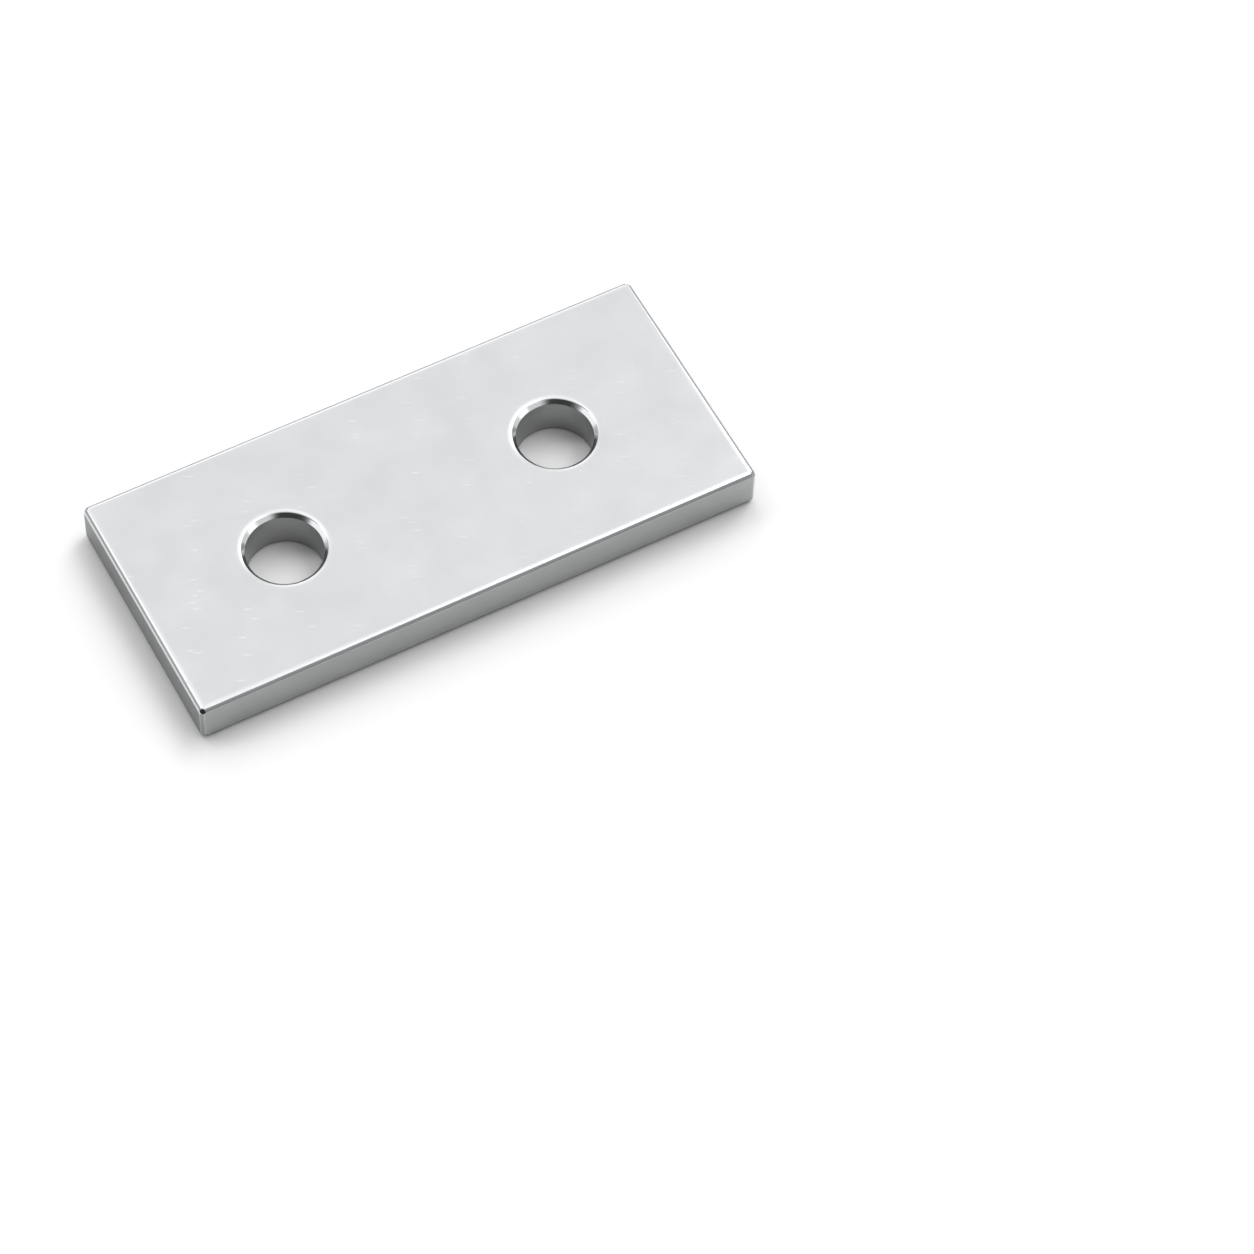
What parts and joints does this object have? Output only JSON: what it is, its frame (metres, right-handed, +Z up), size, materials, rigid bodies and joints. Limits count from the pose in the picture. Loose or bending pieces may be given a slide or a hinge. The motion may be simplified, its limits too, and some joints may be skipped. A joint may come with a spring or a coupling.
{
  "type": "connector plate",
  "caption": "Flat rectangular aluminium bar with plain round bolt holes on its centre line and every edge chamfered, used to join or bridge framing members.",
  "frame": {"origin": "centre of the underside, midway between the two bolt holes", "axes": "+X along the plate through both holes, +Y across the plate, +Z up through its thickness"},
  "size_m": [0.102, 0.045, 0.008],
  "materials": {
    "clear_anodised_aluminium": "clear anodised over a fine lengthwise brushed grain, satin"
  },
  "bodies": {
    "root": {"connector_plate": "clear_anodised_aluminium"}
  },
  "joints": []
}
